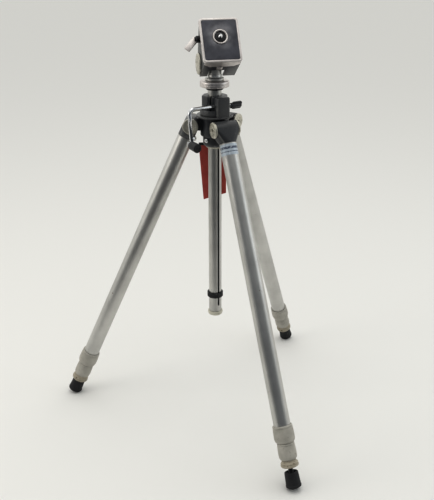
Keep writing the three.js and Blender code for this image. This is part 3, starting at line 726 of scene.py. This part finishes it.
fork_length = 24
fork_half = 19
barrel = 13.2
fork = round_bar("cast_fork", barrel, -fork_half, fork_half, 72, "Y")
neck_ring = round_bar("neck ring", 14, -fork_length + 0.3, -fork_length + 1.2, 72)
join_to(fork, neck_ring)
edit_all()
bpy.ops.mesh.convex_hull()
bpy.ops.object.mode_set(mode="OBJECT")
ease(fork, 0.7, 2, 50)
swing = math.degrees(0.447)
cut_from(fork, round_bar("tongue room", 10.4, -7.4, 7.4, 48, "Y"))
for share in (0, 0.5, 1):
    room = block("tongue room", (-hip_radius, -7.4, -10.4), (0, 7.4, 10.4))
    cut_from(fork, moved(room, turn=swing * share, axis="Y"))
ease(fork, 0, angle=28)
fit_to_legs(fork, black_enamel, "leg", "black_paint", "hip_fork")

cap_metal = finish_of(
    "worn nickel cap", (0.50, 0.48, 0.42), (0.64, 0.62, 0.54), (0.30, 0.46), metal=0.85,
    grain=(420, 0.02), specks=(260, 0.63, (0.22, 0.20, 0.16)), clouds=110,
)
face = fork_half + 0.3
cap_rim = [
    (barrel - 0.4, face), (barrel, face + 0.4), (barrel, face + 2.3), (barrel - 0.5, face + 3),
    (barrel - 1.4, face + 3.3), (6.6, face + 3.3), (6.2, face + 2.9), (5.6, face + 2.9),
    (5.2, face + 3.3), (2.5, face + 3.3), (2.3, face + 3.1), (2.3, face + 1.5), (0, face + 1.5),
]
pin = turned("hip_pin_turned", [
    (0, -fork_half), (3.6, -fork_half), (4, -fork_half + 0.4), (4, face), *cap_rim,
])
moved(pin, turn=-90, axis="X")
ease(pin, 0.12)
fit_to_legs(pin, cap_metal, "leg", "ivory_plastic", "hip_pin")
cap = turned("hip_cap_turned", [(0, face), *cap_rim])
moved(cap, turn=90, axis="X")
ease(cap, 0.12)
fit_to_legs(cap, cap_metal, "leg", "ivory_plastic", "hip_cap")


def leg_tube(name, radius, top, end):
    """A drawn tube of the leg from top to end below the hip pin, with its ends just broken."""
    bore = radius - 1.1
    return ease(turned(name, [
        (bore, -end), (radius - 0.25, -end), (radius, -end + 0.25), (radius, -top - 0.25),
        (radius - 0.25, -top), (bore, -top), (bore, -end),
    ], sides=96), 0)


upper_end, lock_length = 490, 28.4
middle_lock_top = upper_end + lock_length + 0.3
flange_top = middle_lock_top + lock_length + 0.3
flange_end = flange_top + 12
for tube_name, radius, top, end, part, node in (
    ("upper_drawn_tube", 14, fork_length, upper_end + 10, "leg", "upper_tube"),
    ("middle_drawn_tube", 11.9, 60, middle_lock_top + 10, "middle_section", "middle_tube"),
    ("lower_drawn_tube", 9.9, 70, flange_top + 8, "lower_section", "lower_tube"),
):
    fit_to_legs(leg_tube(tube_name, radius, top, end), satin, part, "satin_aluminium", node)

grey_moulding = finish_of(
    "grey moulding", (0.38, 0.365, 0.325), (0.48, 0.462, 0.415), (0.42, 0.62), grain=(800, 0.04),
    specks=(210, 0.66, (0.29, 0.27, 0.23)), clouds=70, edge_wear_and_sheen_tone=(0.45, 0.44, 0.40),
)


def twist_lock(name, top, above, below):
    """A moulded twist lock: a lip at the top, a body that swells, and a rounded lower end."""
    outer = above + 3.2
    low = -top - lock_length
    return ease(turned(name, [
        (below + 0.3, low), (outer - 3.4, low), (outer - 2.2, -top - 27.7),
        (outer - 1.1, -top - 26.3), (outer - 0.4, -top - 24.4), (outer - 0.05, -top - 21.8),
        (outer, -top - 18), (outer - 0.2, -top - 11), (outer - 0.6, -top - 5.2),
        (outer - 0.7, -top - 4.3), (outer - 1.2, -top - 4.0), (outer - 1.2, -top - 3.5),
        (outer - 0.7, -top - 3.2), (outer - 0.9, -top - 1.0), (outer - 1.5, -top - 0.3),
        (outer - 2.0, -top), (above + 0.3, -top), (above + 0.3, -top - 10.3),
        (below + 0.3, -top - 10.3), (below + 0.3, low),
    ], sides=80), 0, angle=28)


for grip_name, top, above, below, lock in (
    ("upper_grip", upper_end, 14, 11.9, "upper_lock"),
    ("lower_grip", middle_lock_top, 11.9, 9.9, "lower_lock"),
):
    grip_ring = twist_lock(grip_name, top, above, below)
    fit_to_legs(grip_ring, grey_moulding, lock, "grey_plastic", lock)

beige_moulding = finish_of(
    "beige moulding", (0.36, 0.325, 0.255), (0.45, 0.41, 0.33), (0.40, 0.60), grain=(800, 0.03),
    specks=(240, 0.62, (0.16, 0.12, 0.08)), clouds=80,
)
flange = turned("foot_moulded_flange", [
    (4.4, -flange_end), (11.6, -flange_end), (13.6, -flange_end + 0.8), (14.7, -flange_end + 2.1),
    (15, -flange_end + 3.5), (14.8, -flange_end + 4.8), (13.9, -flange_end + 5.1),
    (13.9, -flange_end + 5.7), (14.5, -flange_end + 6.1), (14.3, -flange_end + 7.6),
    (13.2, -flange_end + 8.8), (12.2, -flange_end + 9.4), (12, -flange_end + 10.2), (12, -flange_top),
    (10.2, -flange_top), (10.2, -flange_top - 8.3), (4.4, -flange_top - 8.3), (4.4, -flange_end),
], sides=80)
ease(flange, 0, angle=28)
fit_to_legs(flange, beige_moulding, "lower_section", "beige_plastic", "foot_flange")

turned_out = {"front": 8, "rear": 1, "left": 1}
thread_end = -flange_end - 16 + 0.3
thread_outline = [(0, thread_end)]
thread_pitch = 1.25
thread_turns = 28
for step in range(thread_turns):
    root = thread_end + step * thread_pitch
    thread_outline += [
        (3.45, root), (4.0, root + thread_pitch * 0.4), (4.0, root + thread_pitch * 0.6),
    ]
thread_outline += [
    (3.45, thread_end + thread_turns * thread_pitch), (3.45, -flange_top + 6), (0, -flange_top + 6),
]
spindle = turned("foot_threaded_spindle", thread_outline, sides=28)
ease(spindle, 0, angle=25)
fit_to_legs(spindle, black_steel, "spindle", "black_steel", "foot_spindle", turned_out)

foot_top = -flange_end
sole_radius = 20
sole = foot_top - 29 + sole_radius
foot_outline = [(0, sole - sole_radius)]
for angle in (6, 12, 18, 24, 30, 35, 38.3):
    across, down = math.sin(math.radians(angle)), math.cos(math.radians(angle))
    foot_outline.append((sole_radius * across, sole - sole_radius * down))
foot_outline += [
    (12.9, foot_top - 23.2), (13, foot_top - 22.2), (12.75, foot_top - 21.4),
    (12.35, foot_top - 20.8), (11.5, foot_top - 3), (11.4, foot_top - 1.4), (11.0, foot_top - 0.4),
    (10.4, foot_top), (8.9, foot_top), (8.4, foot_top - 0.5), (8.4, foot_top - 4),
    (4.3, foot_top - 4), (4.3, foot_top - 16.4), (0, foot_top - 16.4),
]
foot = turned("rubber_boot", foot_outline, sides=72)
ease(foot, 0, angle=28)
fit_to_legs(foot, rubber, "foot", "rubber", "rubber_foot", turned_out)
foot_washer = turned("foot_bright_washer", [
    (4.4, foot_top - 3.4), (8.0, foot_top - 3.4), (8.2, foot_top - 3.2), (8.2, foot_top - 2.6),
    (8.0, foot_top - 2.4), (4.4, foot_top - 2.4), (4.4, foot_top - 3.4),
], sides=48)
ease(foot_washer, 0)
fit_to_legs(foot_washer, plated, "foot", "chrome", None, turned_out)

# The front leg wears a plain printed band below its fork: pale blue-silver foil, wrapped round
# the side that faces out, with two plain stripes and nothing written on it.
foil, foil_tree, foil_shader = new_material("printed foil", Roughness=0.35)
foil_place = add_node(foil_tree, "Attribute", attribute_name="drawn").outputs["Vector"]
foil_height = add_node(foil_tree, "SeparateXYZ", {0: foil_place})
foil_rows = add_node(
    foil_tree, "MapRange",
    {"From Min": -45 * MM, "From Max": -25 * MM, "Value": foil_height.outputs["Z"]},
)
foil_stripes = add_node(foil_tree, "ValToRGB")
foil_stripes.color_ramp.interpolation = "CONSTANT"
pale, ink = (0.50, 0.56, 0.62, 1), (0.07, 0.09, 0.14, 1)
foil_stripes.color_ramp.elements[0].color = pale
for position, tone in ((0.30, ink), (0.36, pale), (0.55, ink), (0.74, pale)):
    foil_stripes.color_ramp.elements.new(position).color = tone
foil_stripes.color_ramp.elements[-1].color = pale
foil_tree.links.new(foil_rows.outputs["Result"], foil_stripes.inputs["Fac"])
foil_wear = add_node(foil_tree, "TexNoise", {"Scale": 600, "Vector": foil_place})
foil_worn = add_node(
    foil_tree, "MapRange",
    {"From Min": 0.52, "From Max": 0.62, "Value": foil_wear.outputs["Fac"]},
).outputs["Result"]
foil_tone = mixed(foil_tree, foil_worn, foil_stripes.outputs["Color"], (0.52, 0.56, 0.60))
foil_tree.links.new(foil_tone, foil_shader.inputs["Base Color"])
foil_tree.links.new(foil_worn, foil_shader.inputs["Metallic"])
band_inner, band_outer = 14.05, 14.25
band = turned("front_leg_printed_band", [
    (band_inner, -44), (band_outer, -44), (band_outer, -26), (band_inner, -26), (band_inner, -44),
], sides=96)
edit_all()
bpy.ops.mesh.bisect(plane_co=(-2 * MM, 0, 0), plane_no=(1, 0, 0), use_fill=True, clear_inner=True)
bpy.ops.object.mode_set(mode="OBJECT")
ease(band, 0)
set_in(band, leg_places["front"])
dress(band, foil, "front_leg", "satin_aluminium")

# ---------------------------------------------------------------- leg strap and its bar
# A short length of red webbing hangs behind the column from a black moulded bar, to tie the
# folded legs together. It hangs a little askew, with its lower end cut on the slant.
strap_bar = block("strap_hanger_bar", (-27.5, 15, -40.5), (13.5, 19.2, -36.3))
settle(strap_bar, stand_place, 0.7, black_moulding, "shoulder", "black_steel", "strap_bar", segments=3)

webbing, web_tree, web_shader = new_material("red webbing", Roughness=0.72, Sheen_Weight=0.15)
web_place = add_node(web_tree, "Attribute", attribute_name="drawn").outputs["Vector"]
web_axes = add_node(web_tree, "SeparateXYZ", {0: web_place})


def web_math(operation, *terms):
    """One sum in the weave: each term is a number or another node's value."""
    return add_node(web_tree, "Math", dict(enumerate(terms)), operation=operation).outputs[0]


rib_pitch, yarn_pitch = 1.1 * MM, 0.8 * MM
weft = web_math("SINE", web_math("MULTIPLY", web_axes.outputs["Z"], 2 * math.pi / rib_pitch))
warp = web_math("SINE", web_math("MULTIPLY", web_axes.outputs["X"], 2 * math.pi / yarn_pitch))
weave_height = web_math("MULTIPLY_ADD", web_math("MULTIPLY", weft, warp), 0.5, 0.5)
web_cloud = add_node(web_tree, "TexNoise", {"Scale": 60, "Vector": web_place})
web_tone = mixed(web_tree, web_cloud.outputs["Fac"], (0.40, 0.052, 0.045), (0.68, 0.125, 0.098))
web_tone = mixed(web_tree, 0.35, web_tone, weave_height, "MULTIPLY")
web_tree.links.new(web_tone, web_shader.inputs["Base Color"])
web_bump = add_node(web_tree, "Bump", {"Distance": 0.12 * MM, "Height": weave_height})
web_tree.links.new(web_bump.outputs["Normal"], web_shader.inputs["Normal"])

strap_left, strap_width, strap_length, strap_top = -27.5, 47, 98, -40.8
strap_across, strap_down = 24, 60
bpy.ops.object.select_all(action="DESELECT")
bpy.ops.mesh.primitive_grid_add(
    x_subdivisions=strap_across, y_subdivisions=strap_down, size=1, rotation=(math.pi / 2, 0, 0)
)
strap = bpy.context.object
strap.name = "red_leg_strap"
bake_place()
for vertex in strap.data.vertices:
    across, down = vertex.co.x + 0.5, 0.5 - vertex.co.z
    skew = 7.5 * down * (1 - across)
    slant = strap_length - 12 * across * down
    bow = 0.55 * math.sin(3.0 * down + 2.2 * across) + 0.3 * math.sin(7 * down)
    place = (strap_left + strap_width * across + skew, 16.5 + bow * down, strap_top - slant * down)
    vertex.co = Vector(place) * MM
thickness = strap.modifiers.new("webbing thickness", "SOLIDIFY")
thickness.thickness = 1.3 * MM
thickness.offset = 0
bpy.ops.object.modifier_apply(modifier=thickness.name)
settle(strap, stand_place, 0.25, webbing, "shoulder", "red_webbing", "leg_strap", segments=2)

# ---------------------------------------------------------------- head neck
# The head's neck is a satin turned post with a flange, and its top is crossed by the barrel
# that the tilt pin runs through.
tilt_axis = Vector(joints["tilt"]["axis"]).normalized()
neck_place = place_of(hip_level, tilt_axis, up.cross(tilt_axis), up)
neck = turned("neck_post", [
    (0, 65.6), (6, 65.6), (6, 73.4), (14.9, 73.4), (15.6, 74.2), (15.6, 77.2), (14.9, 78.2), (13, 78.4),
    (12.1, 78.8), (11.6, 79.8), (11.6, 84), (11.2, 84.4), (11.6, 84.8), (11.6, 100), (0, 100),
], sides=80)
neck_barrel = round_bar("neck barrel", 11.7, -12, 12, 72, "X")
ease(neck_barrel, 0.5)
add_to(neck, moved(neck_barrel, step=(0, 0, 100)))
settle(neck, neck_place, 0, satin, "pan", "chrome", "head_neck")

# ---------------------------------------------------------------- head housing
# A thin-walled casting in the shape of a shoe, enamelled black: open underneath, notched at
# the heel round the neck, with the platform screwed down on its roof.
head_axis = Vector(joints["camera_screw_turn"]["axis"]).normalized()
head_place = place_of(
    Vector(joints["tilt"]["pos_m"]), tilt_axis, head_axis.cross(tilt_axis), head_axis
)
head_left, head_right, heel, toe, rear, roof, wall = -25, 33, -17.5, 56, -10, 40, 3


def heel_band(name, room):
    """The platform's turned-down heel edge, chamfered at its lower corners, with room round it."""
    low = (head_left - room, heel - room, 27 - room)
    high = (head_right + room, heel + 1.6 + room, 41)
    return round_edges(
        block(name, low, high), lambda a, b: a.z < 27.1 and b.z < 27.1 and abs(a.y - b.y) > 1, 9, 1
    )


def shell_edge(a, b):
    """Tells whether an edge of the head is rounded: all but the open mouth and the heel's top."""
    at_mouth = a.z <= rear + 1 or b.z <= rear + 1
    at_heel_top = max(a.y, b.y) < heel + 0.1 and min(a.z, b.z) > roof - 0.1
    return not at_mouth and not at_heel_top


shell = block("head_casting", (head_left, heel, rear), (head_right, toe, roof))
bpy.context.view_layer.objects.active = shell
for along_cut, up_cut, slope_along, slope_up in (
    (15.5, rear, 4.5, 7), (20, -3, 30, 31), (50, 28, 5, 12),
):
    edit_all()
    bpy.ops.mesh.bisect(
        plane_co=(0, along_cut * MM, up_cut * MM), plane_no=(0, slope_up, -slope_along),
        use_fill=True, clear_outer=True,
    )
    bpy.ops.object.mode_set(mode="OBJECT")
round_edges(shell, shell_edge, 1.6, 4)
bpy.ops.object.mode_set(mode="EDIT")
bpy.ops.mesh.select_mode(type="FACE")
bpy.ops.mesh.select_all(action="DESELECT")
bpy.ops.object.mode_set(mode="OBJECT")
for polygon in shell.data.polygons:
    polygon.select = polygon.normal.z < -0.99
bpy.ops.object.mode_set(mode="EDIT")
bpy.ops.mesh.delete(type="FACE")
bpy.ops.object.mode_set(mode="OBJECT")
walls = shell.modifiers.new("walls", "SOLIDIFY")
walls.thickness = wall * MM
walls.offset = -1
bpy.ops.object.modifier_apply(modifier=walls.name)
cut_from(shell, block("neck notch", (-13, heel - 5, rear - 5), (13, 0, 13)))
cut_from(shell, heel_band("band room", 0.3))
cut_from(shell, moved(round_bar("pin hole", 5.3, head_left - 5, head_right + 5, 40, "X")))
settle(shell, head_place, 0, black_enamel, "head", "black_paint", "head_housing")

# A small bare-metal plate is let into the heel wall above the neck.
heel_plate = block("heel_inset_plate", (-2.5, heel - 0.9, 16.5), (7, heel + 0.6, 26))
settle(heel_plate, head_place, 0.35, dull_aluminium, "head", "dull_aluminium", segments=2)

# ---------------------------------------------------------------- camera platform and pad
# The platform is a milled aluminium plate with a raised rim; a smooth rubber pad is glued
# inside the rim, scuffed round the screw by the cameras that have stood on it. Its heel edge
# is turned down 13 mm over the housing's heel wall.
platform_left, platform_right, platform_low, platform_top, rim = -27.5, 35.5, 40.3, 45.3, 3.4
screw_across, screw_along = 4, 24.25


def rounded_plate(name, margin, corner, low, high):
    """A plate in the platform's outline, smaller by a margin all round, with rounded corners."""
    plate = block(
        name, (platform_left + margin, heel + margin, low), (platform_right - margin, toe - margin, high)
    )
    return round_edges(plate, lambda a, b: abs(a.z - b.z) > 0.5, corner, 8)


pad_low = platform_top - 1.3
platform = rounded_plate("platform_milled_plate", 0, 5.5, platform_low, platform_top)
ease(platform, 0.9, 3, 50)
add_to(platform, heel_band("heel band", 0))
recess = rounded_plate("recess", rim, 3.2, pad_low - 0.3, platform_top + 3)
cut_from(platform, recess)
screw_hole = round_bar("screw hole", 3.4, 30, 60, 40)
cut_from(platform, moved(screw_hole, step=(screw_across, screw_along, 0)))
settle(
    platform, head_place, 0.25, dull_aluminium, "head", "dull_aluminium", "platform", segments=2, angle=50
)

pad_finish, pad_tree, pad_shader = new_material("scuffed pad rubber")
pad_drawn, pad_uneven = unevenness(pad_tree, (1, 1, 1), 55, 700, 380, 0.60)
screw_spot = Vector((screw_across, screw_along + 2, platform_top)) * MM
from_screw = add_node(pad_tree, "VectorMath", {0: pad_drawn, 1: screw_spot}, operation="DISTANCE")
scuffed = add_node(
    pad_tree, "MapRange",
    {"From Min": 26 * MM, "From Max": 13 * MM, "Value": from_screw.outputs["Value"]},
)
scuff = add_node(
    pad_tree, "Math", {0: scuffed.outputs["Result"], 1: pad_uneven.outputs["Cloud"]},
    operation="MULTIPLY",
)
pad_tone = mixed(
    pad_tree, pad_uneven.outputs["Cloud"], (0.062, 0.063, 0.076), (0.105, 0.107, 0.128)
)
pad_tone = mixed(pad_tree, scuff.outputs[0], pad_tone, (0.32, 0.315, 0.33))
pad_tree.links.new(pad_tone, pad_shader.inputs["Base Color"])
give_gloss_and_grain(pad_tree, pad_shader, pad_uneven.outputs["Grain"], (0.42, 0.66), 0.08)

pad = rounded_plate("platform_rubber_pad", rim + 0.3, 2.9, pad_low, platform_top + 0.4)
ease(pad, 0.45, 2, 50)
pad_hole = round_bar("pad hole", 12.8, 30, 60, 80)
cut_from(pad, moved(pad_hole, step=(screw_across, screw_along, 0)))
settle(pad, head_place, 0, pad_finish, "head", "pad_rubber", "platform_pad")

# ---------------------------------------------------------------- camera screw and its ring
# A bright ring stands round the camera screw. The screw is turned by a milled knob inside the
# housing, and carries a dark dish that fills the ring.
screw_place = head_place @ Matrix.Translation(Vector((screw_across, screw_along, 0)) * MM)
ring = turned("screw_bright_ring", [
    (9.2, pad_low), (12.4, pad_low), (12.4, 46.0), (12.1, 46.6), (11.4, 46.9), (10.5, 46.9),
    (9.7, 46.5), (9.2, 45.7), (9.2, pad_low),
], sides=96)
settle(ring, screw_place, 0, dull_aluminium, "head", "chrome", "screw_ring")
dish = turned("camera_screw_dish", [
    (0, pad_low + 0.2), (8.8, pad_low + 0.2), (8.8, pad_low + 0.9), (7.6, pad_low + 1.7),
    (5.6, pad_low + 2.3), (4.6, pad_low + 2.4), (4.2, pad_low + 2.0), (0, pad_low + 2.0),
], sides=72)
settle(dish, screw_place, 0, black_steel, "camera_screw", "black_steel")
screw_outline = [
    (0, 29.7), (8.4, 29.7), (9, 30.3), (9, 36.1), (8.4, 36.7), (3.1, 36.7), (3.1, 45.6),
]
screw_pitch = 1.27
for step in range(4):
    root = 45.6 + step * screw_pitch
    screw_outline += [(2.6, root), (3.1, root + 0.5), (3.1, root + 0.7)]
screw_outline += [(2.6, 50.8), (2.2, 51.3), (0, 51.3)]
camera_screw = turned("camera_screw_turned", screw_outline, sides=48)
settle(camera_screw, screw_place, 0, plated, "camera_screw", "chrome", "camera_screw", angle=28)

# ---------------------------------------------------------------- tilt pin, cap and lever
# The tilt pin crosses the housing from a wide cap on one side to a hexagon nut on the other.
# A bare aluminium lever, flared away from the housing, locks the tilt.
tilt_cap = turned("tilt_side_cap", [
    (0, 25.3), (16.4, 25.3), (17, 25.9), (17, 27.2), (16.5, 28), (15.4, 28.5), (8, 28.5), (7.6, 28.1),
    (7.0, 28.1), (6.6, 28.5), (0, 28.5),
], sides=80)
moved(tilt_cap, turn=-90, axis="Y")
settle(tilt_cap, head_place, 0, cap_metal, "head", "ivory_plastic", "tilt_cap")
tilt_pin = round_bar("tilt_pin_and_nut", 5, -24.9, 38.6, 48, "X")
nut = round_bar("nut", 9, 33.3, 37.6, 6, "X")
ease(nut, 0.5, 2, 50)
add_to(tilt_pin, nut)
settle(tilt_pin, head_place, 0, black_steel, "head", "black_steel", "tilt_pin")
lever_place = head_place @ Matrix.Translation(Vector((0, 31, 24)) * MM)
lever_hub = turned("tilt_lever_hub", [
    (0, 17), (2.4, 17), (2.4, 25.3), (5.0, 25.3), (5.5, 25.8), (5.5, 30.6), (5.0, 31.1), (3.6, 31.3),
    (3.6, 33.0), (3.2, 33.4), (0, 33.4),
], sides=40)
moved(lever_hub, turn=-90, axis="Y")
settle(lever_hub, lever_place, 0, black_steel, "tilt_lever", "black_steel")
blade = block("tilt_lever_blade", (-5, -24, -1), (5, 2, 1))
round_edges(blade, lambda a, b: abs(a.z - b.z) > 1, 1.6, 4)
ease(blade, 0.35, 2, 50)
moved(blade, turn=-43)
moved(blade, step=(-31.5, 0, 0))
set_in(blade, lever_place)
dress(blade, dull_aluminium, "tilt_lever", "satin_aluminium", "tilt_lever")
